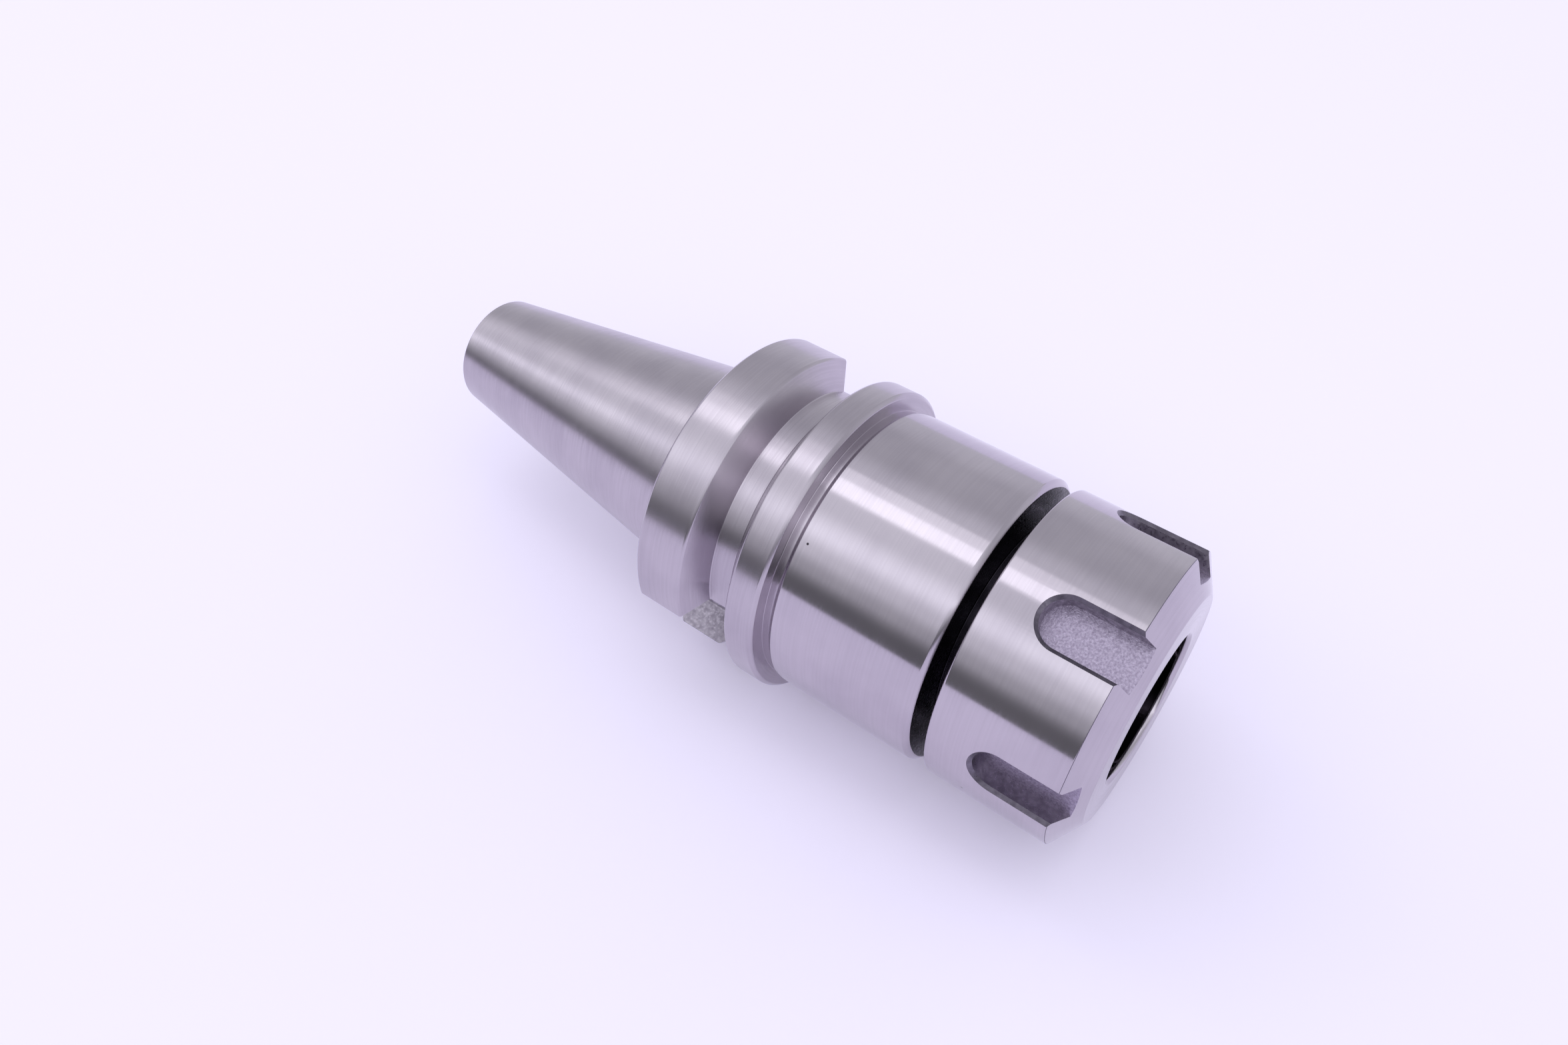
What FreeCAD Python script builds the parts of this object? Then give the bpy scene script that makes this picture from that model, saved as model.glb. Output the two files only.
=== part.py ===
import FreeCAD, Part
import Sketcher
import math
import os
import re

# Collet chuck holder: a 30-taper shank with a gripper flange, and a slotted nut for 25-size collets.
# The axis is vertical. Z = 0 is the front face of the nut, and the taper's small end is at the top.
# The drive keyways lie on the X axis.

# ---------------------------------------------------------------- driving dimensions, in millimetres
sizes = {
    # spindle taper, 7/24; the gauge length runs to the face of the nut, screwed home with no collet in it
    "gauge_length": 67.5,
    "gauge_diameter": 31.75,
    "taper_length": 48.4,
    "taper_rise": 7.0,
    "taper_run": 24.0,
    "taper_end_chamfer": 0.5,
    # relief behind the flange, where the grinding wheel runs out
    "back_relief_depth": 0.45,
    "back_relief_width": 1.5,
    # gripper flange
    "flange_offset": 2.0,
    "flange_width": 20.0,
    "flange_diameter": 46.0,
    "flange_chamfer": 0.5,
    "groove_centre": 13.6,
    "groove_width": 8.0,
    "groove_root": 38.0,
    "groove_flank": 30.0,
    "groove_lip": 0.2,
    # drive keyways
    "key_width": 16.1,
    "key_height": 16.3,
    "key_run": 15.3,
    "key_fillet": 0.8,
    # body between the flange and the nut
    "body_diameter": 42.0,
    "body_chamfer": 0.7,
    "body_relief_depth": 0.5,
    "body_relief_width": 1.2,
    # threaded nose, drawn at the pitch cylinder of M32 x 1.5
    "nose_diameter": 31.0,
    "nose_length": 11.1,
    "nose_chamfer": 0.8,
    "neck_diameter": 28.6,
    "neck_width": 3.0,
    # collet socket
    "socket_mouth": 26.0,
    "socket_angle": 8.0,
    "socket_depth": 28.0,
    "socket_lead": 0.5,
    "shank_bore": 17.2,
    "shank_depth": 44.0,
    "drill_diameter": 10.2,
    "drill_point": 59.0,
    # pull-stud hole, its thread drawn at the pitch cylinder of M12 x 1.75
    "stud_pilot_diameter": 12.5,
    "stud_pilot_depth": 7.0,
    "stud_thread_diameter": 10.86,
    "stud_thread_depth": 24.0,
    "stud_lead": 0.6,
    # clamping nut
    "nut_length": 20.0,
    "nut_diameter": 42.0,
    "nut_gap": 2.3,
    "nut_rear_chamfer": 0.3,
    "nut_cone_height": 2.7,
    "nut_face_diameter": 32.6,
    "nut_bore": 21.0,
    "nut_bore_chamfer": 0.4,
    "nut_bore_land": 0.8,
    "seat_angle": 30.0,
    "seat_diameter": 26.2,
    "head_diameter": 27.0,
    "head_width": 2.0,
    "lip_diameter": 25.9,
    "lip_offset": 0.5,
    "lip_width": 1.7,
    "thread_fit": 0.05,
    "thread_relief_depth": 0.8,
    "thread_relief_width": 1.6,
    "thread_lead": 1.0,
    # wrench slots of the nut
    "slot_count": 6.0,
    "slot_width": 6.2,
    "slot_floor": 17.9,
    "slot_back": 6.4,
    "slot_bevel": 0.35,
    "slot_turn": 32.0,
}

# How far the cutting profiles reach past the metal that they clear.
overcut = 2.0

# ---------------------------------------------------------------- heights and radii that follow
flangeBack = "gauge_length - flange_offset"
flangeFront = "gauge_length - flange_offset - flange_width"
taperEnd = "gauge_length + taper_length"
taperSlope = "taper_rise / taper_run / 2"
taperEndRadius = f"gauge_diameter / 2 - taper_length * {taperSlope}"
taperChamferRadius = f"{taperEndRadius} + taper_end_chamfer * {taperSlope}"
bodyFront = "nut_length + nut_gap"
noseFront = "nut_length + nut_gap - nose_length"
neckBack = "nut_length + nut_gap - neck_width"
neckStep = "(nose_diameter - neck_diameter) / 2"
grooveMiddle = "gauge_length - groove_centre"
grooveDepth = "(flange_diameter - groove_root) / 2"
seatTop = "nut_bore_land + (seat_diameter - nut_bore) / 2 / tan(seat_angle * 1deg)"
headTop = seatTop + " + head_width"
lipTop = headTop + " + lip_width"
threadStart = lipTop + " + thread_relief_width"
nutThreadRadius = "nose_diameter / 2 + thread_fit"
slotCentre = "nut_length - slot_back - slot_width / 2"
socketEnd = noseFront + " + socket_lead + socket_depth"
socketEndRadius = "socket_mouth / 2 - socket_depth * tan(socket_angle * 1deg)"
drillCone = "(shank_bore - drill_diameter) / 2 / tan(drill_point * 1deg)"
studStep = "(stud_pilot_diameter - stud_thread_diameter) / 2"
studRunout = "(stud_thread_diameter - drill_diameter) / 2"

doc = FreeCAD.newDocument("collet_chuck_holder")
sheet = doc.addObject("Spreadsheet::Sheet", "Sizes")
for row, (alias, value) in enumerate(sizes.items(), start=1):
    sheet.set(f"A{row}", alias)
    sheet.set(f"B{row}", str(value))
    sheet.setAlias(f"B{row}", alias)
doc.recompute()


def bound(formula):
    """Point each size named in a formula at its cell: only the aliases have an underscore."""
    return re.sub(r"\b[a-z]+(?:_[a-z]+)+\b", lambda found: "Sizes." + found.group(0), str(formula))


def originPlane(body, role):
    return next(feature for feature in body.Origin.OriginFeatures if feature.Role == role)


def newBody(name):
    body = doc.addObject("PartDesign::Body", name)
    body.Label = name
    return body


def newSketch(body, name, role, height=None):
    """A sketch on one of the body's own origin planes, lifted along its normal by a formula."""
    sketch = body.newObject("Sketcher::SketchObject", name)
    sketch.AttachmentSupport = [(originPlane(body, role), "")]
    sketch.MapMode = "FlatFace"
    if height is not None:
        sketch.setExpression("AttachmentOffset.Base.z", bound(height))
    return sketch


def hold(sketch, kind, first, firstEnd, second, secondEnd, formula):
    """A driving distance between two points of a sketch, bound to a formula."""
    index = sketch.addConstraint(Sketcher.Constraint(kind, first, firstEnd, second, secondEnd, 1.0))
    sketch.setExpression(f"Constraints[{index}]", bound(formula))


def drawProfile(sketch, corners):
    """A closed outline of straight lines through corners given as pairs of formulas."""
    count = len(corners)
    starts = [FreeCAD.Vector(20 + 3 * index, 10 + index * index, 0) for index in range(count)]
    for index in range(count):
        sketch.addGeometry(Part.LineSegment(starts[index], starts[(index + 1) % count]), False)
    for index in range(count):
        following = (index + 1) % count
        sketch.addConstraint(Sketcher.Constraint("Coincident", index, 2, following, 1))
    for index, (across, along) in enumerate(corners):
        for kind, axis, formula in (("DistanceX", -2, across), ("DistanceY", -1, along)):
            if formula == 0:
                sketch.addConstraint(Sketcher.Constraint("PointOnObject", index, 1, axis))
            else:
                hold(sketch, kind, -1, 1, index, 1, formula)


def turn(body, kind, name, corners):
    """Turn a profile of radius and height about the body's axis, as metal added or cut away."""
    sketch = newSketch(body, name + "_profile", "XZ_Plane")
    drawProfile(sketch, corners)
    feature = body.newObject(kind, name)
    feature.Profile = sketch
    feature.ReferenceAxis = (sketch, ["V_Axis"])
    feature.Angle = 360.0
    doc.recompute()
    return feature


def patternAround(body, name, feature, count):
    pattern = body.newObject("PartDesign::PolarPattern", name)
    pattern.Originals = [feature]
    pattern.Axis = (originPlane(body, "Z_Axis"), [""])
    pattern.Angle = 360.0
    pattern.setExpression("Occurrences", bound(count))
    body.Tip = pattern
    doc.recompute()
    return pattern


def dressEdges(body, kind, name, test, setting, formula):
    """Round or bevel the edges of the body's last feature that pass a test."""
    base = body.Tip
    edges = [f"Edge{index}" for index, edge in enumerate(base.Shape.Edges, start=1) if test(edge)]
    feature = body.newObject(kind, name)
    feature.Base = (base, edges)
    feature.setExpression(setting, bound(formula))
    doc.recompute()
    return feature


# ---------------------------------------------------------------- holder
def makeHolder():
    body = newBody("holder_body")
    nose = "nose_diameter / 2"
    neck = "neck_diameter / 2"
    barrel = "body_diameter / 2"
    flange = "flange_diameter / 2"
    gauge = "gauge_diameter / 2"
    turn(body, "PartDesign::Revolution", "turned_outline", [
        (0, noseFront),
        (f"{nose} - nose_chamfer", noseFront),
        (nose, f"{noseFront} + nose_chamfer"),
        (nose, f"{neckBack} - ({neckStep})"),
        (neck, neckBack),
        (neck, bodyFront),
        (f"{barrel} - body_chamfer", bodyFront),
        (barrel, f"{bodyFront} + body_chamfer"),
        (barrel, f"{flangeFront} - body_relief_width - body_relief_depth"),
        (f"{barrel} - body_relief_depth", f"{flangeFront} - body_relief_width"),
        (f"{barrel} - body_relief_depth", flangeFront),
        (f"{flange} - flange_chamfer", flangeFront),
        (flange, f"{flangeFront} + flange_chamfer"),
        (flange, f"{flangeBack} - flange_chamfer"),
        (f"{flange} - flange_chamfer", flangeBack),
        (f"{gauge} - back_relief_depth", flangeBack),
        (f"{gauge} - back_relief_depth", f"{flangeBack} + back_relief_width"),
        (gauge, "gauge_length"),
        (taperChamferRadius, f"{taperEnd} - taper_end_chamfer"),
        (f"{taperEndRadius} - taper_end_chamfer", taperEnd),
        (0, taperEnd),
    ])

    # The groove that the tool changer grips has flanks at 60 degrees to each other.
    flank = f"({grooveDepth}) * tan(groove_flank * 1deg)"
    lipFlank = "groove_lip * tan(groove_flank * 1deg)"
    turn(body, "PartDesign::Groove", "gripper_groove", [
        (f"{flange} + {overcut}", f"{grooveMiddle} - groove_width / 2 - groove_lip"),
        (flange, f"{grooveMiddle} - groove_width / 2 - groove_lip"),
        (f"{flange} - groove_lip", f"{grooveMiddle} - groove_width / 2 + {lipFlank}"),
        ("groove_root / 2", f"{grooveMiddle} - groove_width / 2 + {flank}"),
        ("groove_root / 2", f"{grooveMiddle} + groove_width / 2 - {flank}"),
        (f"{flange} - groove_lip", f"{grooveMiddle} + groove_width / 2 - {lipFlank}"),
        (flange, f"{grooveMiddle} + groove_width / 2 + groove_lip"),
        (f"{flange} + {overcut}", f"{grooveMiddle} + groove_width / 2 + groove_lip"),
    ])

    # The socket narrows by 8 degrees a side to the clearance bore for long tool shanks.
    turn(body, "PartDesign::Groove", "collet_socket", [
        (0, f"{noseFront} - {overcut}"),
        ("socket_mouth / 2 + socket_lead", f"{noseFront} - {overcut}"),
        ("socket_mouth / 2 + socket_lead", noseFront),
        ("socket_mouth / 2", f"{noseFront} + socket_lead"),
        (socketEndRadius, socketEnd),
        ("shank_bore / 2", socketEnd),
        ("shank_bore / 2", f"{noseFront} + shank_depth"),
        ("drill_diameter / 2", f"{noseFront} + shank_depth + {drillCone}"),
        ("drill_diameter / 2", f"{taperEnd} - stud_thread_depth"),
        (0, f"{taperEnd} - stud_thread_depth"),
    ])

    turn(body, "PartDesign::Groove", "stud_hole", [
        (0, f"{taperEnd} + {overcut}"),
        ("stud_pilot_diameter / 2 + stud_lead", f"{taperEnd} + {overcut}"),
        ("stud_pilot_diameter / 2 + stud_lead", taperEnd),
        ("stud_pilot_diameter / 2", f"{taperEnd} - stud_lead"),
        ("stud_pilot_diameter / 2", f"{taperEnd} - stud_pilot_depth"),
        ("stud_thread_diameter / 2", f"{taperEnd} - stud_pilot_depth - {studStep}"),
        ("stud_thread_diameter / 2", f"{taperEnd} - stud_thread_depth"),
        ("drill_diameter / 2", f"{taperEnd} - stud_thread_depth - {studRunout}"),
        (0, f"{taperEnd} - stud_thread_depth - {studRunout}"),
    ])

    # One drive keyway milled from the back of the flange, and its twin opposite.
    before = body.Shape.Volume
    sketch = newSketch(body, "keyway_outline", "XY_Plane", flangeBack)
    drawRectangle(sketch, "key_height", f"{flange} + {overcut}", "key_width")
    keyway = body.newObject("PartDesign::Pocket", "keyway")
    keyway.Profile = sketch
    keyway.Type = "Length"
    keyway.setExpression("Length", bound("key_run"))
    doc.recompute()
    patternAround(body, "keyways", keyway, 2)
    checkCut("keyways", before, body.Shape.Volume)

    half = sizes["key_width"] / 2
    floor = sizes["key_height"]

    def isKeywayCorner(edge):
        if not isinstance(edge.Curve, Part.Line) or abs(edge.Curve.Direction.z) < 0.99:
            return False
        middle = edge.CenterOfMass
        return abs(abs(middle.x) - floor) < 0.01 and abs(abs(middle.y) - half) < 0.01

    dressEdges(body, "PartDesign::Fillet", "keyway_corners", isKeywayCorner, "Radius", "key_fillet")
    return body


def drawRectangle(sketch, near, far, width):
    """A rectangle from near to far along X, and half its width to each side of the axis."""
    points = [FreeCAD.Vector(x, y, 0) for x, y in ((5, -4), (12, -4), (12, 4), (5, 4))]
    for index in range(4):
        sketch.addGeometry(Part.LineSegment(points[index], points[(index + 1) % 4]), False)
    for index in range(4):
        sketch.addConstraint(Sketcher.Constraint("Coincident", index, 2, (index + 1) % 4, 1))
    for index, kind in enumerate(("Horizontal", "Vertical", "Horizontal")):
        sketch.addConstraint(Sketcher.Constraint(kind, index))
    sketch.addConstraint(Sketcher.Constraint("Symmetric", 0, 1, 2, 2, -1))
    hold(sketch, "DistanceX", -1, 1, 0, 1, near)
    hold(sketch, "DistanceX", -1, 1, 1, 1, far)
    hold(sketch, "DistanceY", 1, 1, 1, 2, width)


def checkCut(name, before, after):
    if after >= before - 1.0:
        raise RuntimeError(f"{name} removed no metal")


# ---------------------------------------------------------------- clamping nut
def makeNut():
    body = newBody("clamping_nut")
    outside = "nut_diameter / 2"
    bore = "nut_bore / 2"
    seat = "seat_diameter / 2"
    head = "head_diameter / 2"
    # The lip is turned small first, and its eccentric bore is cut afterwards.
    lip = "lip_diameter / 2 - lip_offset"
    turn(body, "PartDesign::Revolution", "turned_section", [
        (f"{bore} + nut_bore_chamfer", 0),
        ("nut_face_diameter / 2", 0),
        (outside, "nut_cone_height"),
        (outside, "nut_length - nut_rear_chamfer"),
        (f"{outside} - nut_rear_chamfer", "nut_length"),
        (f"{nutThreadRadius} + thread_lead", "nut_length"),
        (nutThreadRadius, "nut_length - thread_lead"),
        (nutThreadRadius, threadStart),
        (f"{nutThreadRadius} + thread_relief_depth", f"{threadStart} - thread_relief_depth / 2"),
        (f"{nutThreadRadius} + thread_relief_depth", lipTop),
        (lip, lipTop),
        (lip, headTop),
        (head, headTop),
        (head, f"{seatTop} + (head_diameter - seat_diameter) / 2"),
        (seat, seatTop),
        (bore, "nut_bore_land"),
        (bore, "nut_bore_chamfer"),
    ])

    # The off-centre lip catches the collet's groove and draws the collet out.
    before = body.Shape.Volume
    sketch = newSketch(body, "extraction_lip_outline", "XY_Plane", lipTop)
    sketch.addGeometry(Part.Circle(FreeCAD.Vector(1, 0, 0), FreeCAD.Vector(0, 0, 1), 10), False)
    sketch.addConstraint(Sketcher.Constraint("PointOnObject", 0, 3, -1))
    hold(sketch, "DistanceX", -1, 1, 0, 3, "lip_offset")
    radius = sketch.addConstraint(Sketcher.Constraint("Radius", 0, 10.0))
    sketch.setExpression(f"Constraints[{radius}]", bound("lip_diameter / 2"))
    eccentric = body.newObject("PartDesign::Pocket", "extraction_lip")
    eccentric.Profile = sketch
    eccentric.Type = "Length"
    eccentric.setExpression("Length", bound("lip_width"))
    doc.recompute()
    checkCut("extraction lip", before, body.Shape.Volume)

    # A wrench slot has a flat floor, a round back end and runs out through the front cone.
    before = body.Shape.Volume
    sketch = newSketch(body, "slot_outline", "YZ_Plane", "slot_floor")
    drawSlot(sketch)
    slot = body.newObject("PartDesign::Pocket", "wrench_slot")
    slot.Profile = sketch
    slot.Type = "Length"
    slot.Reversed = True
    slot.setExpression("Length", bound(f"{outside} - slot_floor + {overcut}"))
    doc.recompute()
    patternAround(body, "wrench_slots", slot, "slot_count")
    checkCut("wrench slots", before, body.Shape.Volume)

    outer = sizes["nut_diameter"] / 2
    rear = sizes["nut_length"] - sizes["nut_rear_chamfer"]

    def isSlotLip(edge):
        spots = [edge.valueAt(edge.FirstParameter + part * (edge.LastParameter - edge.FirstParameter))
                 for part in (0.0, 0.37, 1.0)]
        onBarrel = all(abs((spot.x ** 2 + spot.y ** 2) ** 0.5 - outer) < 0.01 for spot in spots)
        level = max(spot.z for spot in spots) - min(spot.z for spot in spots) < 0.01
        return onBarrel and not level and max(spot.z for spot in spots) < rear - 0.5

    dressEdges(body, "PartDesign::Chamfer", "slot_bevels", isSlotLip, "Size", "slot_bevel")
    body.setExpression("Placement.Rotation.Angle", bound("slot_turn * 1deg"))
    doc.recompute()
    return body


def drawSlot(sketch):
    """An upright slot, open below the front face, with a full round at its back end."""
    low, high, side = -3.0, 10.0, 3.0
    leftLow, leftHigh = FreeCAD.Vector(-side, low, 0), FreeCAD.Vector(-side, high, 0)
    rightLow, rightHigh = FreeCAD.Vector(side, low, 0), FreeCAD.Vector(side, high, 0)
    backEnd = Part.Circle(FreeCAD.Vector(0, high, 0), FreeCAD.Vector(0, 0, 1), side)
    sketch.addGeometry(Part.LineSegment(leftLow, leftHigh), False)
    sketch.addGeometry(Part.ArcOfCircle(backEnd, 0.0, math.pi), False)
    sketch.addGeometry(Part.LineSegment(rightHigh, rightLow), False)
    sketch.addGeometry(Part.LineSegment(rightLow, leftLow), False)
    sketch.addConstraint(Sketcher.Constraint("Tangent", 0, 2, 1, 2))
    sketch.addConstraint(Sketcher.Constraint("Tangent", 1, 1, 2, 1))
    sketch.addConstraint(Sketcher.Constraint("Coincident", 2, 2, 3, 1))
    sketch.addConstraint(Sketcher.Constraint("Coincident", 3, 2, 0, 1))
    sketch.addConstraint(Sketcher.Constraint("Vertical", 0))
    sketch.addConstraint(Sketcher.Constraint("Vertical", 2))
    sketch.addConstraint(Sketcher.Constraint("Horizontal", 3))
    sketch.addConstraint(Sketcher.Constraint("PointOnObject", 1, 3, -2))
    radius = sketch.addConstraint(Sketcher.Constraint("Radius", 1, side))
    sketch.setExpression(f"Constraints[{radius}]", bound("slot_width / 2"))
    hold(sketch, "DistanceY", -1, 1, 1, 3, slotCentre)
    hold(sketch, "DistanceY", 3, 1, -1, 1, overcut)


# ---------------------------------------------------------------- build, check and write
pieces = [makeHolder(), makeNut()]
doc.recompute()
for thing in doc.Objects:
    if "Invalid" in thing.State or "Error" in thing.State:
        raise RuntimeError(f"{thing.Label} failed: {thing.State}")
for piece in pieces:
    if piece.Shape.isNull() or not piece.Shape.isValid() or len(piece.Shape.Solids) != 1:
        raise RuntimeError(f"{piece.Label} is not one valid solid")

os.makedirs("parts", exist_ok=True)
for piece in pieces:
    piece.Shape.exportStep(f"parts/{piece.Label}.step")
    print(piece.Label, "volume", round(piece.Shape.Volume), "mm3", piece.Shape.BoundBox)
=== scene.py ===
import math

import bmesh
import bpy
from mathutils import Matrix, Vector


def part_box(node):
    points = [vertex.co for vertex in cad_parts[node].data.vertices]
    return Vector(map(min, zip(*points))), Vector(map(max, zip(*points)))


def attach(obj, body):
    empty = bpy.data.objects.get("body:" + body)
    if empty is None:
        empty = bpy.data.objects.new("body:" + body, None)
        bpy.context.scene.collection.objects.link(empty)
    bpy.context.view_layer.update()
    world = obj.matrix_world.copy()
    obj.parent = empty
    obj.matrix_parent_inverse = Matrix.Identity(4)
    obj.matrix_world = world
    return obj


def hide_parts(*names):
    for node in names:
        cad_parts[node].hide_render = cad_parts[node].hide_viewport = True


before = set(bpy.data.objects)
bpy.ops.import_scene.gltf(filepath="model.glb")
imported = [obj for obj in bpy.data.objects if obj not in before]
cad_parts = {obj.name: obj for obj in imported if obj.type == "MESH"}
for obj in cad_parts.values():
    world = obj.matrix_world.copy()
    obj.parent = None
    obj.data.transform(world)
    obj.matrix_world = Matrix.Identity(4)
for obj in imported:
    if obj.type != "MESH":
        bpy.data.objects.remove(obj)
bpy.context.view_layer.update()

# A steel collet chuck holder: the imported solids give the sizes, and the pieces here are turned and milled
# again with rounded edges and real thread ridges. Sizes are in millimetres and are scaled once, at the end.
mm = 0.001
segments = 256                     # facets round the axis
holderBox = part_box("holder_body")
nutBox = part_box("clamping_nut")
taperTop = holderBox[1][2] / mm
noseFront = holderBox[0][2] / mm
nutRear = nutBox[1][2] / mm

# ------------------------------------------------------------------ camera
view = {
    "target": (1.94, -0.27, 56.22),    # the point of the axis that the lens looks at
    "distance": 169.34,
    "azimuth": 82.0,                   # degrees round the axis from +X
    "elevation": -24.09,               # the lens looks up at the nut's face
    "roll": -60.67,
    "lens": 26.86,
    "sensor": 36.0,
}


def placeCamera():
    azimuth, elevation = math.radians(view["azimuth"]), math.radians(view["elevation"])
    level = math.cos(elevation)
    back = Vector((level * math.cos(azimuth), level * math.sin(azimuth), math.sin(elevation)))
    unrolled = back.cross(Vector((0, 0, -1))).normalized()
    lift = back.cross(unrolled)
    roll = math.radians(view["roll"])
    right = unrolled * math.cos(roll) + lift * math.sin(roll)
    up = back.cross(right)
    place = Matrix((right, up, back)).transposed().to_4x4()
    place.translation = (Vector(view["target"]) + back * view["distance"]) * mm
    lens = bpy.data.cameras.new("benchCamera")
    lens.lens = view["lens"]
    lens.sensor_width = view["sensor"]
    lens.sensor_fit = "HORIZONTAL"
    lens.clip_start = 0.005
    lens.clip_end = 20
    camera = bpy.data.objects.new("benchCamera", lens)
    camera.matrix_world = place
    bpy.context.scene.collection.objects.link(camera)
    bpy.context.scene.camera = camera


placeCamera()
print("camera placed")


# ------------------------------------------------------------------ materials
def linear(code):
    channels = [int(code[start:start + 2], 16) / 255 for start in (1, 3, 5)]
    return [c / 12.92 if c <= 0.04045 else ((c + 0.055) / 1.055) ** 2.4 for c in channels] + [1.0]


def addNode(tree, kind, settings=None, links=None, **values):
    # one node: its settings, its unlinked inputs by name and the sockets that feed it
    node = tree.nodes.new(kind)
    for key, value in (settings or {}).items():
        setattr(node, key, value)
    for key, value in values.items():
        node.inputs[key.replace("_", " ")].default_value = value
    for key, socket in (links or {}).items():
        tree.links.new(socket, node.inputs[key])
    return node


def newMaterial(name):
    material = bpy.data.materials.new(name)
    material.use_nodes = True
    material.node_tree.nodes.clear()
    return material, material.node_tree


def latheCoordinates(tree):
    # position, radius and the unit direction from the axis, all from Object coordinates in metres
    place = addNode(tree, "ShaderNodeTexCoord").outputs["Object"]
    flat = addNode(tree, "ShaderNodeVectorMath", {"operation": "MULTIPLY"}, {0: place})
    flat.inputs[1].default_value = (1, 1, 0)
    flat = flat.outputs[0]
    radius = addNode(tree, "ShaderNodeVectorMath", {"operation": "LENGTH"}, {0: flat}).outputs["Value"]
    outward = addNode(tree, "ShaderNodeVectorMath", {"operation": "NORMALIZE"}, {0: flat}).outputs[0]
    height = addNode(tree, "ShaderNodeSeparateXYZ", None, {0: place}).outputs["Z"]
    round_ = addNode(tree, "ShaderNodeVectorMath", {"operation": "CROSS_PRODUCT"}, {1: outward})
    round_.inputs[0].default_value = (0, 0, 1)
    return place, radius, outward, height, round_.outputs[0]


def ringNoise(tree, radius, outward, height, pitch, turnBreaks):
    # noise drawn out round the axis: lines a pitch apart that fade in and out a few times a turn
    around = addNode(tree, "ShaderNodeVectorMath", {"operation": "SCALE"}, {0: outward}, Scale=turnBreaks)
    along = addNode(tree, "ShaderNodeMath", {"operation": "MULTIPLY"}, {0: height})
    along.inputs[1].default_value = 1 / (pitch * mm)
    across = addNode(tree, "ShaderNodeMath", {"operation": "MULTIPLY"}, {0: radius})
    across.inputs[1].default_value = 1 / (pitch * mm)
    lift = addNode(tree, "ShaderNodeCombineXYZ", None, {"Z": along.outputs[0]})
    vector = addNode(tree, "ShaderNodeVectorMath", {"operation": "ADD"},
                     {0: around.outputs[0], 1: lift.outputs[0]})
    noise = addNode(tree, "ShaderNodeTexNoise", {"noise_dimensions": "4D"},
                    {"Vector": vector.outputs[0], "W": across.outputs[0]},
                    Scale=1.0, Detail=2.0, Roughness=0.6)
    return noise.outputs["Fac"]


def remap(tree, socket, low, high, fromLow=0.35, fromHigh=0.65):
    return addNode(tree, "ShaderNodeMapRange", None, {"Value": socket},
                   From_Min=fromLow, From_Max=fromHigh, To_Min=low, To_Max=high).outputs["Result"]


def sparseDots(tree, place, spacing, size):
    # a few small round marks, about one in each cell of the spacing
    cells = addNode(tree, "ShaderNodeTexVoronoi", None, {"Vector": place},
                    Scale=1 / (spacing * mm), Randomness=1.0)
    dots = addNode(tree, "ShaderNodeMapRange", None, {"Value": cells.outputs["Distance"]},
                   From_Min=size / spacing * 0.7, From_Max=size / spacing, To_Min=1.0, To_Max=0.0)
    return dots.outputs["Result"]


def turnedSteel(name, look):
    material, tree = newMaterial(name)
    place, radius, outward, height, around = latheCoordinates(tree)
    fine = ringNoise(tree, radius, outward, height, look["linePitch"], look["turnBreaks"])
    coarse = ringNoise(tree, radius, outward, height, look["bandPitch"], look["turnBreaks"] * 0.6)
    cloud = addNode(tree, "ShaderNodeTexNoise", None, {"Vector": place},
                    Scale=1 / (look["cloudSize"] * mm), Detail=3.0)
    pits = sparseDots(tree, place, look["pitSpacing"], look["pitSize"])
    tone = addNode(tree, "ShaderNodeMix", {"data_type": "RGBA"},
                   {"Factor": remap(tree, cloud.outputs["Fac"], 0, 1)})
    tone.inputs[6].default_value = linear(look["colour"])
    tone.inputs[7].default_value = linear(look["tint"])
    lined = addNode(tree, "ShaderNodeMix", {"data_type": "RGBA", "blend_type": "MULTIPLY"},
                    {"Factor": remap(tree, fine, 0, look["lineTone"]), 6: tone.outputs[2]})
    lined.inputs[7].default_value = linear("#8c8690")
    pitted = addNode(tree, "ShaderNodeMix", {"data_type": "RGBA"}, {"Factor": pits, 6: lined.outputs[2]})
    pitted.inputs[7].default_value = linear("#3a353c")
    base, spread = look["roughness"], look["roughSpread"]
    rough = addNode(tree, "ShaderNodeMath", {"operation": "ADD"},
                    {0: remap(tree, fine, base - spread, base + spread),
                     1: remap(tree, coarse, -spread / 2, spread / 2)})
    lines = addNode(tree, "ShaderNodeBump", None, {"Height": fine},
                    Strength=look["lineStrength"], Distance=look["lineDepth"] * mm)
    bands = addNode(tree, "ShaderNodeBump", None, {"Height": coarse, "Normal": lines.outputs[0]},
                    Strength=look["lineStrength"], Distance=look["bandDepth"] * mm)
    shader = addNode(tree, "ShaderNodeBsdfPrincipled", None,
                     {"Base Color": pitted.outputs[2], "Roughness": rough.outputs[0],
                      "Normal": bands.outputs[0], "Tangent": around},
                     Metallic=1.0, Anisotropic=look["anisotropy"], Anisotropic_Rotation=0.25)
    addNode(tree, "ShaderNodeOutputMaterial", None, {"Surface": shader.outputs[0]})
    return material


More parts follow.
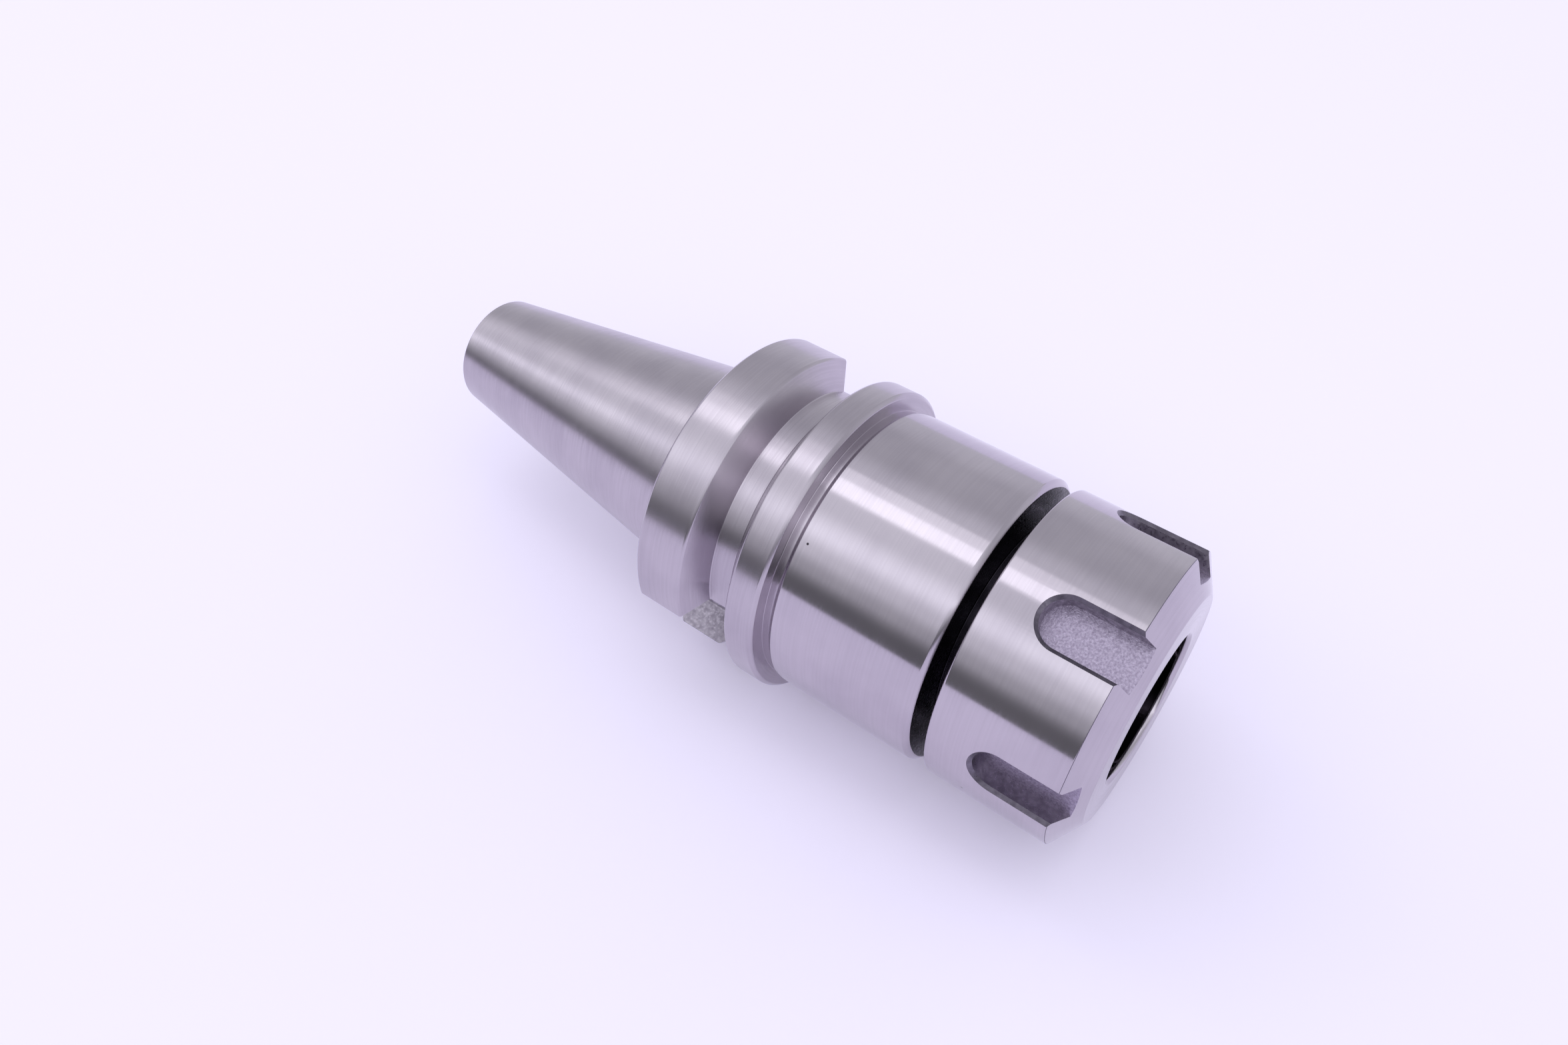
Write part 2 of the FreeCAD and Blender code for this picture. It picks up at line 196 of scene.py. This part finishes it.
def milledSteel(name, look):
    material, tree = newMaterial(name)
    place = addNode(tree, "ShaderNodeTexCoord").outputs["Object"]
    grain = addNode(tree, "ShaderNodeTexNoise", None, {"Vector": place},
                    Scale=1 / (look["grainSize"] * mm), Detail=3.0, Roughness=0.7)
    cloud = addNode(tree, "ShaderNodeTexNoise", None, {"Vector": place},
                    Scale=1 / (look["cloudSize"] * mm), Detail=2.0)
    tone = addNode(tree, "ShaderNodeMix", {"data_type": "RGBA"},
                   {"Factor": remap(tree, cloud.outputs["Fac"], 0, 1)})
    tone.inputs[6].default_value = linear(look["colour"])
    tone.inputs[7].default_value = linear(look["tint"])
    bump = addNode(tree, "ShaderNodeBump", None, {"Height": grain.outputs["Fac"]},
                   Strength=look["grainStrength"], Distance=look["grainDepth"] * mm)
    shader = addNode(tree, "ShaderNodeBsdfPrincipled", None,
                     {"Base Color": tone.outputs[2], "Normal": bump.outputs[0],
                      "Roughness": remap(tree, grain.outputs["Fac"],
                                         look["roughness"] - 0.1, look["roughness"] + 0.1)},
                     Metallic=1.0)
    addNode(tree, "ShaderNodeOutputMaterial", None, {"Surface": shader.outputs[0]})
    return material


# Case-hardened alloy steel, turned: fine rings drawn out round the axis stretch each reflection along it.
bodySteel = turnedSteel("turnedSteel", {
    "colour": "#c0b9c1", "tint": "#b7b0b9", "roughness": 0.15, "roughSpread": 0.02, "anisotropy": 0.85,
    "linePitch": 0.3, "bandPitch": 1.8, "turnBreaks": 1.2, "cloudSize": 9.0, "lineTone": 0.06,
    "lineStrength": 0.5, "lineDepth": 0.0009, "bandDepth": 0.0018, "pitSpacing": 7.0, "pitSize": 0.2,
})
# The same steel off the cylindrical grinder: a little rougher and more even.
groundSteel = turnedSteel("groundSteel", {
    "colour": "#bfb8c0", "tint": "#b6afb8", "roughness": 0.24, "roughSpread": 0.02, "anisotropy": 0.72,
    "linePitch": 0.22, "bandPitch": 1.2, "turnBreaks": 2.5, "cloudSize": 8.0, "lineTone": 0.08,
    "lineStrength": 0.4, "lineDepth": 0.0006, "bandDepth": 0.0008, "pitSpacing": 8.0, "pitSize": 0.16,
})
# Slot floors, end-milled and left grainy by hardening and blasting; the grain is drawn coarse enough to show.
blastedSteel = milledSteel("blastedSteel", {
    "colour": "#b0a6ba", "tint": "#91879b", "roughness": 0.34, "grainSize": 0.18, "cloudSize": 0.28,
    "grainStrength": 1.0, "grainDepth": 0.06,
})
# The neck behind the thread and the nut's rear face sit in the gap between holder and nut and are coloured
# near-black: painted shade.
gapShadeSteel = milledSteel("gapShadeSteel", {
    "colour": "#3a363f", "tint": "#26232a", "roughness": 0.3, "grainSize": 0.4, "cloudSize": 2.5,
    "grainStrength": 0.4, "grainDepth": 0.02,
})
# The end mill leaves keyways and slot walls smoother than a slot's floor, mottled by the hardening.
milledWall = milledSteel("milledSteel", {
    "colour": "#aaa3ae", "tint": "#8f8894", "roughness": 0.34, "grainSize": 0.4, "cloudSize": 0.8,
    "grainStrength": 0.5, "grainDepth": 0.02,
})
# The slots' lips are chamfered before the barrel is ground; their darker grey colour is painted shade.
shadedLipSteel = milledSteel("paintedLipShade", {
    "colour": "#7d7783", "tint": "#68626e", "roughness": 0.36, "grainSize": 0.3, "cloudSize": 1.0,
    "grainStrength": 0.5, "grainDepth": 0.02,
})
print("materials made")


# ------------------------------------------------------------------ shared making steps
def turnOutline(outline, edge):
    # a closed outline of radius and height, its corners eased, spun once round the axis
    bm = bmesh.new()
    corners = [bm.verts.new((radius, 0, height)) for radius, height in outline]
    for index, corner in enumerate(corners):
        bm.edges.new((corner, corners[(index + 1) % len(corners)]))
    bmesh.ops.bevel(bm, geom=corners, offset=edge, offset_type="OFFSET", segments=2, profile=0.5,
                    affect="VERTICES", clamp_overlap=True, material=-1)
    bmesh.ops.spin(bm, geom=bm.verts[:] + bm.edges[:], cent=(0, 0, 0), axis=(0, 0, 1), angle=math.tau,
                   steps=segments, use_merge=True)
    bmesh.ops.remove_doubles(bm, verts=bm.verts, dist=1e-5)
    bmesh.ops.recalc_face_normals(bm, faces=bm.faces)
    return bm


def newPiece(bm, name, body, scale=mm):
    mesh = bpy.data.meshes.new(name)
    bmesh.ops.scale(bm, vec=(scale, scale, scale), verts=bm.verts)
    bm.to_mesh(mesh)
    bm.free()
    piece = bpy.data.objects.new(name, mesh)
    bpy.context.scene.collection.objects.link(piece)
    if body:
        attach(piece, body)
    return piece


def cutAway(bm, cutter):
    # the turned blank less the cutter, by an exact boolean on two throwaway objects
    blank = newPiece(bm, "blank", None, 1.0)
    tool = newPiece(cutter, "tool", None, 1.0)
    cut = blank.modifiers.new("cut", "BOOLEAN")
    cut.operation = "DIFFERENCE"
    cut.solver = "EXACT"
    cut.object = tool
    bpy.context.view_layer.update()
    result = bpy.data.meshes.new_from_object(blank.evaluated_get(bpy.context.evaluated_depsgraph_get()))
    made = bmesh.new()
    made.from_mesh(result)
    for thing in (blank, tool):
        bpy.data.objects.remove(thing)
    bmesh.ops.remove_doubles(made, verts=made.verts, dist=1e-4)
    return made


def easeEdges(bm, edges, width, steps):
    bmesh.ops.bevel(bm, geom=edges, offset=width, offset_type="OFFSET", segments=steps, profile=0.5,
                    affect="EDGES", clamp_overlap=True, material=-1)


def finishShading(piece, flatBreak=40):
    for polygon in piece.data.polygons:
        polygon.use_smooth = True
    piece.data.set_sharp_from_angle(angle=math.radians(flatBreak))
    weighted = piece.modifiers.new("evenNormals", "WEIGHTED_NORMAL")
    weighted.keep_sharp = True
    weighted.weight = 80


def helixRidge(name, body, size):
    # one thread ridge: its section steps round the axis and climbs by the pitch each turn
    bm = bmesh.new()
    half = size["pitch"] * size["rootShare"] / 2
    flat = size["pitch"] / 16
    section = [(size["root"], -half), (size["crest"], -flat), (size["crest"], flat), (size["root"], half)]
    corners = [bm.verts.new((radius, 0, size["start"] + lift)) for radius, lift in section]
    steps = round(segments * (size["end"] - size["start"]) / size["pitch"])
    turns = steps / segments
    face = bm.faces.new(corners)
    bmesh.ops.spin(bm, geom=[face], cent=(0, 0, 0), axis=(0, 0, 1), angle=math.tau * turns,
                   dvec=(0, 0, size["pitch"] / segments), steps=steps, use_duplicate=False)
    bmesh.ops.remove_doubles(bm, verts=bm.verts, dist=1e-5)
    for corner in bm.verts:
        # the first and last third of a turn rise from the root
        along = (corner.co.z - size["start"]) / size["pitch"]
        fade = min(max(min(along, turns - along) * 3, 0.05), 1)
        reach = math.hypot(corner.co.x, corner.co.y)
        faded = (size["root"] + (reach - size["root"]) * fade) / reach
        corner.co.x *= faded
        corner.co.y *= faded
    bmesh.ops.recalc_face_normals(bm, faces=bm.faces)
    piece = newPiece(bm, name, body)
    piece.data.materials.append(bodySteel)
    finishShading(piece, 30)
    return piece


# ------------------------------------------------------------------ holder
holder = {
    "gaugeBelowTop": 48.4, "gaugeRadius": 15.875, "taperSlope": 7 / 48, "endChamfer": 0.5,
    "backReliefDepth": 0.45, "backReliefWidth": 1.5,
    "flangeOffset": 2.0, "flangeWidth": 20.0, "flangeRadius": 23.0, "flangeChamfer": 0.5,
    "grooveCentre": 13.6, "grooveHalf": 4.0, "grooveRoot": 19.0, "grooveFlank": 30.0, "grooveLip": 0.2,
    "keyHalf": 8.05, "keyFloor": 16.3, "keyRun": 15.3, "keyFillet": 0.8,
    "bodyRadius": 21.0, "bodyChamfer": 0.7, "reliefDepth": 0.5, "reliefWidth": 1.2,
    "noseLength": 11.1, "noseMinor": 15.08, "noseChamfer": 0.8, "neckRadius": 14.3, "neckWidth": 3.0,
    "socketMouth": 13.0, "socketAngle": 8.0, "socketDepth": 28.0, "socketLead": 0.5,
    "shankRadius": 8.6, "shankDepth": 44.0, "drillRadius": 5.1, "drillPoint": 59.0,
    "pilotRadius": 6.25, "pilotDepth": 7.0, "studMinor": 5.14, "studDepth": 24.0, "studLead": 0.6,
    "edge": 0.11,
}


def holderOutline():
    size = holder
    gauge = taperTop - size["gaugeBelowTop"]
    flangeBack = gauge - size["flangeOffset"]
    flangeFront = flangeBack - size["flangeWidth"]
    shoulder = noseFront + size["noseLength"]
    neckTop = shoulder - size["neckWidth"]
    middle = gauge - size["grooveCentre"]
    flank = math.tan(math.radians(size["grooveFlank"]))
    lip, chamfer, rim = size["grooveLip"], size["flangeChamfer"], size["flangeRadius"]
    sink = (rim - size["grooveRoot"]) * flank
    barrel, relieved = size["bodyRadius"], size["bodyRadius"] - size["reliefDepth"]
    endRadius = size["gaugeRadius"] - size["gaugeBelowTop"] * size["taperSlope"]
    socketEnd = noseFront + size["socketLead"] + size["socketDepth"]
    socketEndRadius = size["socketMouth"] - size["socketDepth"] * math.tan(math.radians(size["socketAngle"]))
    pilotEnd = taperTop - size["pilotDepth"]
    studEnd = taperTop - size["studDepth"]
    studRoot = size["studMinor"] + 0.3         # the thread's ridge stands on this
    drillTip = math.tan(math.radians(size["drillPoint"]))
    drillStart = noseFront + size["shankDepth"] + (size["shankRadius"] - size["drillRadius"]) / drillTip
    return [
        (size["socketMouth"] + size["socketLead"], noseFront),
        (size["noseMinor"] - size["noseChamfer"] / 2, noseFront),
        (size["noseMinor"], noseFront + size["noseChamfer"] / 2),
        (size["noseMinor"], neckTop - (size["noseMinor"] - size["neckRadius"])),
        (size["neckRadius"], neckTop),
        (size["neckRadius"], shoulder),
        (barrel - size["bodyChamfer"], shoulder),
        (barrel, shoulder + size["bodyChamfer"]),
        (barrel, flangeFront - size["reliefWidth"] - size["reliefDepth"]),
        (relieved, flangeFront - size["reliefWidth"]),
        (relieved, flangeFront),
        (rim - chamfer, flangeFront),
        (rim, flangeFront + chamfer),
        (rim, middle - size["grooveHalf"] - lip),
        (rim - lip, middle - size["grooveHalf"] + lip * flank),
        (size["grooveRoot"], middle - size["grooveHalf"] + sink),
        (size["grooveRoot"], middle + size["grooveHalf"] - sink),
        (rim - lip, middle + size["grooveHalf"] - lip * flank),
        (rim, middle + size["grooveHalf"] + lip),
        (rim, flangeBack - chamfer),
        (rim - chamfer, flangeBack),
        (size["gaugeRadius"] - size["backReliefDepth"], flangeBack),
        (size["gaugeRadius"] - size["backReliefDepth"], flangeBack + size["backReliefWidth"]),
        (size["gaugeRadius"], gauge),
        (endRadius + size["endChamfer"] * size["taperSlope"], taperTop - size["endChamfer"]),
        (endRadius - size["endChamfer"], taperTop),
        (size["pilotRadius"] + size["studLead"], taperTop),
        (size["pilotRadius"], taperTop - size["studLead"]),
        (size["pilotRadius"], pilotEnd),
        (studRoot, pilotEnd - (size["pilotRadius"] - studRoot)),
        (studRoot, studEnd),
        (size["drillRadius"], studEnd - 0.3),
        (size["drillRadius"], drillStart),
        (size["shankRadius"], noseFront + size["shankDepth"]),
        (size["shankRadius"], socketEnd),
        (socketEndRadius, socketEnd),
        (size["socketMouth"], noseFront + size["socketLead"]),
    ]


def keywayCutter():
    size = holder
    top = taperTop - size["gaugeBelowTop"] - size["flangeOffset"]
    bottom = top - size["keyRun"]
    clear = 3                          # how far the cutter stands out of the rim and the back face
    reach = size["flangeRadius"] + clear
    cutter = bmesh.new()
    for side in (1, -1):
        made = bmesh.ops.create_cube(cutter, size=1.0)["verts"]
        bmesh.ops.scale(cutter, verts=made,
                        vec=(reach - size["keyFloor"], 2 * size["keyHalf"], size["keyRun"] + clear))
        bmesh.ops.translate(cutter, verts=made,
                            vec=(side * (reach + size["keyFloor"]) / 2, 0, (bottom + top + clear) / 2))
    inner = [edge for edge in cutter.edges
             if all(abs(abs(corner.co.x) - size["keyFloor"]) < 0.01 for corner in edge.verts)
             and abs(edge.verts[0].co.z - edge.verts[1].co.z) > 1]
    easeEdges(cutter, inner, size["keyFillet"], 6)
    bmesh.ops.recalc_face_normals(cutter, faces=cutter.faces)
    return cutter


def makeHolder():
    size = holder
    bm = cutAway(turnOutline(holderOutline(), size["edge"]), keywayCutter())
    piece = newPiece(bm, "holderTurned", "holder")
    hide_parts("holder_body")
    for steel in (groundSteel, bodySteel, milledWall, gapShadeSteel):
        piece.data.materials.append(steel)
    flangeBack = taperTop - size["gaugeBelowTop"] - size["flangeOffset"]
    flangeFront = flangeBack - size["flangeWidth"]
    neckBottom = noseFront + size["noseLength"] - size["neckWidth"]
    near = 0.01
    for polygon in piece.data.polygons:
        centre = polygon.center / mm
        radius = math.hypot(centre.x, centre.y)
        acrossKeyway = abs(centre.y) < size["keyHalf"] + near and abs(centre.x) > size["keyFloor"] - near
        if acrossKeyway and flangeBack - size["keyRun"] - near < centre.z < flangeBack + near:
            polygon.material_index = 2
        elif centre.z < flangeFront:
            # the neck in the gap behind the thread takes the near-black painted shade
            inNeck = radius < size["bodyRadius"] - 1.2 and centre.z > neckBottom - 1
            polygon.material_index = 3 if inNeck else 1
    finishShading(piece)
    print("holder", len(piece.data.polygons), "faces")


makeHolder()
helixRidge("noseThread", "holder", {
    "pitch": 1.5, "root": 15.0, "crest": 15.93, "rootShare": 0.98,
    "start": noseFront + 0.9, "end": noseFront + holder["noseLength"] - holder["neckWidth"] - 1.6,
})
helixRidge("studThread", "holder", {
    "pitch": 1.75, "root": 5.5, "crest": 5.14, "rootShare": 0.8,
    "start": taperTop - holder["studDepth"] + 1.2, "end": taperTop - holder["pilotDepth"] - 1.4,
})

# ------------------------------------------------------------------ clamping nut
nut = {
    "radius": 21.0, "rearChamfer": 0.3, "coneHeight": 2.7, "faceRadius": 16.3,
    "bore": 10.5, "boreChamfer": 0.4, "boreLand": 0.8, "seatAngle": 30.0, "seatRadius": 13.1,
    "headRadius": 13.5, "headWidth": 2.0, "lipRadius": 12.95, "lipOffset": 0.5, "lipWidth": 1.7,
    "threadMajor": 16.05, "threadMinor": 15.19, "reliefRadius": 16.35, "reliefWidth": 1.6, "lead": 0.6,
    "slotCount": 6, "slotHalf": 3.1, "slotFloor": 17.9, "slotBack": 6.4, "slotBevel": 0.5, "slotTurn": 32.0,
    "edge": 0.11,
}


def seatHeight():
    size = nut
    return size["boreLand"] + (size["seatRadius"] - size["bore"]) / math.tan(math.radians(size["seatAngle"]))


def nutOutline():
    size = nut
    seatTop = seatHeight()
    headTop = seatTop + size["headWidth"]
    lipTop = headTop + size["lipWidth"]
    threadStart = lipTop + size["reliefWidth"]
    lip = size["lipRadius"] - size["lipOffset"]
    return [
        (size["bore"] + size["boreChamfer"], 0),
        (size["faceRadius"], 0),
        (size["radius"], size["coneHeight"]),
        (size["radius"], nutRear - size["rearChamfer"]),
        (size["radius"] - size["rearChamfer"], nutRear),
        (size["threadMajor"] + size["lead"], nutRear),
        (size["threadMajor"], nutRear - size["lead"]),
        (size["threadMajor"], threadStart),
        (size["reliefRadius"], threadStart - 0.3),
        (size["reliefRadius"], lipTop),
        (lip, lipTop),
        (lip, headTop),
        (size["headRadius"], headTop),
        (size["headRadius"], seatTop + 0.4),
        (size["seatRadius"], seatTop),
        (size["bore"], size["boreLand"]),
        (size["bore"], size["boreChamfer"]),
    ]


def lipCutter():
    # the extraction lip's hole, off the axis towards one slot
    size = nut
    middle = seatHeight() + size["headWidth"] + size["lipWidth"] / 2
    cutter = bmesh.new()
    made = bmesh.ops.create_cone(cutter, cap_ends=True, segments=192, radius1=size["lipRadius"],
                                 radius2=size["lipRadius"], depth=size["lipWidth"] + 0.6)["verts"]
    turn = math.radians(size["slotTurn"])
    offset = Vector((math.cos(turn), math.sin(turn), 0)) * size["lipOffset"]
    bmesh.ops.translate(cutter, verts=made, vec=offset + Vector((0, 0, middle)))
    return cutter


def slotCutter():
    # each slot: a block with a full round at its back end, open through the front, flared at the barrel
    size = nut
    cutter = bmesh.new()
    roundCentre = nutRear - size["slotBack"] - size["slotHalf"]
    arc = 24
    for index in range(size["slotCount"]):
        outline = [cutter.verts.new((size["slotFloor"], side * size["slotHalf"], -3))
                   for side in (-1, 1)]
        for step in range(arc + 1):
            angle = math.pi * step / arc
            outline.append(cutter.verts.new((size["slotFloor"], size["slotHalf"] * math.cos(angle),
                                             roundCentre + size["slotHalf"] * math.sin(angle))))
        made = list(outline)
        layer = cutter.faces.new(outline)
        # up to the foot of the flare, out along the flare, and clear of the barrel
        for height, widen in ((-size["slotBevel"], 0), (0.3, size["slotBevel"] + 0.3), (2.0, 0)):
            grown = bmesh.ops.extrude_face_region(cutter, geom=[layer])["geom"]
            if layer.is_valid and height > -size["slotBevel"]:
                cutter.faces.remove(layer)
            layer = next(part for part in grown if isinstance(part, bmesh.types.BMFace))
            for corner in layer.verts:
                along = max(corner.co.z - roundCentre, 0)
                out = Vector((corner.co.y, along)).normalized() * widen
                corner.co.y += out.x
                corner.co.z += out.y
                reach = size["radius"] + height
                corner.co.x = math.sqrt(reach * reach - corner.co.y ** 2)
            made += list(layer.verts)
        turn = math.radians(size["slotTurn"]) + math.tau * index / size["slotCount"]
        bmesh.ops.rotate(cutter, cent=(0, 0, 0), matrix=Matrix.Rotation(turn, 3, "Z"), verts=made)
    bmesh.ops.recalc_face_normals(cutter, faces=cutter.faces)
    return cutter


def makeNut():
    size = nut
    bm = cutAway(turnOutline(nutOutline(), size["edge"]), lipCutter())
    bm = cutAway(bm, slotCutter())
    barrel = size["radius"]
    piece = newPiece(bm, "nutTurned", "nut")
    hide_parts("clamping_nut")
    for steel in (bodySteel, blastedSteel, gapShadeSteel, shadedLipSteel, milledWall):
        piece.data.materials.append(steel)
    backEnd = nutRear - size["slotBack"] + size["slotBevel"]
    for polygon in piece.data.polygons:
        centre, normal = polygon.center / mm, polygon.normal
        radius = math.hypot(centre.x, centre.y)
        outward = Vector((centre.x, centre.y, 0)).normalized()
        # the rear face, facing the holder across the gap, takes the near-black painted shade
        if centre.z > nutRear - 0.05 and radius < barrel - 0.6:
            polygon.material_index = 2
        inSlot = size["slotFloor"] - 0.2 < radius < barrel - 0.06 and 0.1 < centre.z < backEnd
        across = abs(normal.dot(outward))
        onCone = normal.z < -0.7 and across > 0.3 and centre.z < size["coneHeight"]
        if inSlot and not onCone:
            onFloor = across > 0.9 and radius < size["slotFloor"] + 0.4
            onLip = radius > barrel - size["slotBevel"] - 0.1
            # the lips take the darker grey of painted shade
            polygon.material_index = 1 if onFloor else 3 if onLip else 4
    finishShading(piece)
    print("nut", len(piece.data.polygons), "faces")


makeNut()
helixRidge("nutThread", "nut", {
    "pitch": 1.5, "root": 16.1, "crest": 15.19, "rootShare": 0.98, "start": 11.2, "end": nutRear - 0.9,
})
print("pieces made")

# ------------------------------------------------------------------ table and light
stage = {
    "away": Vector((-0.469, 0.883, 0.0)),     # from the table top towards the lens
    "tableSize": 3.0,                         # metres
    "table": {"colour": "#f3edff", "glow": 0.11},
    "air": "#f2f3fc",
    # brightness of the room by degrees from straight above the table, left to right
    "room": [(-88, 0.85), (-60, 0.7), (-35, 0.68), (-16, 0.95), (8, 1.1), (22, 1.1),
             (40, 1.6), (55, 1.05), (68, 0.64), (84, 0.2)],
}


def paleSurface(name, look):
    # lit from its front only; the lens and the steel see it a little brighter than the room lights it
    material, tree = newMaterial(name)
    path = addNode(tree, "ShaderNodeLightPath").outputs
    seen = addNode(tree, "ShaderNodeMath", {"operation": "MAXIMUM"},
                   {0: path["Is Camera Ray"], 1: path["Is Glossy Ray"]})
    seen = addNode(tree, "ShaderNodeMath", {"operation": "MAXIMUM"},
                   {0: seen.outputs[0], 1: path["Is Transmission Ray"]})
    level = addNode(tree, "ShaderNodeMath", {"operation": "MULTIPLY"}, {0: seen.outputs[0]})
    level.inputs[1].default_value = look["glow"]
    glow = addNode(tree, "ShaderNodeEmission", None, {"Strength": level.outputs[0]},
                   Color=linear(look["colour"]))
    lit = addNode(tree, "ShaderNodeBsdfDiffuse", None, None, Color=linear(look["colour"]))
    front = addNode(tree, "ShaderNodeAddShader", None, {0: lit.outputs[0], 1: glow.outputs[0]})
    back = addNode(tree, "ShaderNodeBsdfTransparent")
    facing = addNode(tree, "ShaderNodeNewGeometry").outputs["Backfacing"]
    both = addNode(tree, "ShaderNodeMixShader", None, {0: facing, 1: front.outputs[0], 2: back.outputs[0]})
    addNode(tree, "ShaderNodeOutputMaterial", None, {"Surface": both.outputs[0]})
    return material


def makeTable():
    # the plane that both rims of the flange touch when the holder lies on its side
    bm = bmesh.new()
    bmesh.ops.create_grid(bm, x_segments=1, y_segments=1, size=stage["tableSize"] / 2)
    away = stage["away"].normalized()
    turn = Vector((0, 0, 1)).rotation_difference(away).to_matrix()
    bmesh.ops.rotate(bm, cent=(0, 0, 0), matrix=turn, verts=bm.verts)
    bmesh.ops.translate(bm, vec=-away * (holder["flangeRadius"] + 0.02) * mm, verts=bm.verts)
    mesh = bpy.data.meshes.new("tableTop")
    bm.to_mesh(mesh)
    bm.free()
    table = bpy.data.objects.new("tableTop", mesh)
    table.data.materials.append(paleSurface("paleTable", stage["table"]))
    bpy.context.scene.collection.objects.link(table)


def softBox(name, turn, lift, distance, width, height, power, colour):
    # an area lamp whose direction is given by its turn from the table's normal and its lift along the axis
    away = stage["away"].normalized()
    side = Vector((0, 0, 1)).cross(away) * -1
    turn, lift = math.radians(turn), math.radians(lift)
    direction = (away * math.cos(turn) + side * math.sin(turn)) * math.cos(lift)
    direction += Vector((0, 0, math.sin(lift)))
    lamp = bpy.data.lights.new(name, "AREA")
    lamp.shape = "RECTANGLE"
    lamp.size, lamp.size_y = width, height
    lamp.energy = power
    lamp.color = linear(colour)[:3]
    box = bpy.data.objects.new(name, lamp)
    along = Vector((0, 0, 1)) - direction * direction.z
    across = along.cross(direction).normalized()
    place = Matrix((across, along.normalized(), direction)).transposed().to_4x4()
    place.translation = direction * distance + Vector((0, 0, 0.05))
    box.matrix_world = place
    bpy.context.scene.collection.objects.link(box)


def makeWorld():
    # a pale room whose walls are bright overhead and dim low on the right; the lens sees plain pale only
    world = bpy.data.worlds.new("softRoom")
    bpy.context.scene.world = world
    world.use_nodes = True
    tree = world.node_tree
    tree.nodes.clear()
    away = stage["away"].normalized()
    side = Vector((0, 0, 1)).cross(away) * -1
    direction = addNode(tree, "ShaderNodeTexCoord").outputs["Generated"]
    flat = addNode(tree, "ShaderNodeVectorMath", {"operation": "MULTIPLY"}, {0: direction})
    flat.inputs[1].default_value = (1, 1, 0)
    flat = addNode(tree, "ShaderNodeVectorMath", {"operation": "NORMALIZE"}, {0: flat.outputs[0]})
    lean = addNode(tree, "ShaderNodeVectorMath", {"operation": "DOT_PRODUCT"}, {0: flat.outputs[0]})
    lean.inputs[1].default_value = side
    place = addNode(tree, "ShaderNodeMapRange", None, {"Value": lean.outputs["Value"]},
                    From_Min=-1.0, From_Max=1.0)
    ramp = addNode(tree, "ShaderNodeValToRGB", None, {"Fac": place.outputs[0]})
    ramp.color_ramp.interpolation = "EASE"
    points = ramp.color_ramp.elements
    while len(points) < len(stage["room"]):
        points.new(0.5)
    for point, (lean, level) in zip(points, stage["room"]):
        point.position = (math.sin(math.radians(lean)) + 1) / 2
        point.color = (level, level, level, 1)
    path = addNode(tree, "ShaderNodeLightPath")
    level = addNode(tree, "ShaderNodeMix", {"data_type": "FLOAT"},
                    {"Factor": path.outputs["Is Camera Ray"], "A": ramp.outputs[0]}, B=0.97)
    background = addNode(tree, "ShaderNodeBackground", None, {"Strength": level.outputs[0]},
                         Color=linear(stage["air"]))
    addNode(tree, "ShaderNodeOutputWorld", None, {"Surface": background.outputs[0]})


makeTable()
makeWorld()
softBox("keyStrip", 3, 14, 0.7, 0.13, 0.9, 0.2, "#fbfaff")
softBox("wideStrip", -1, 14, 0.72, 0.27, 0.9, 0.32, "#fbfaff")
bpy.context.scene.view_settings.view_transform = "Standard"
print("stage set")
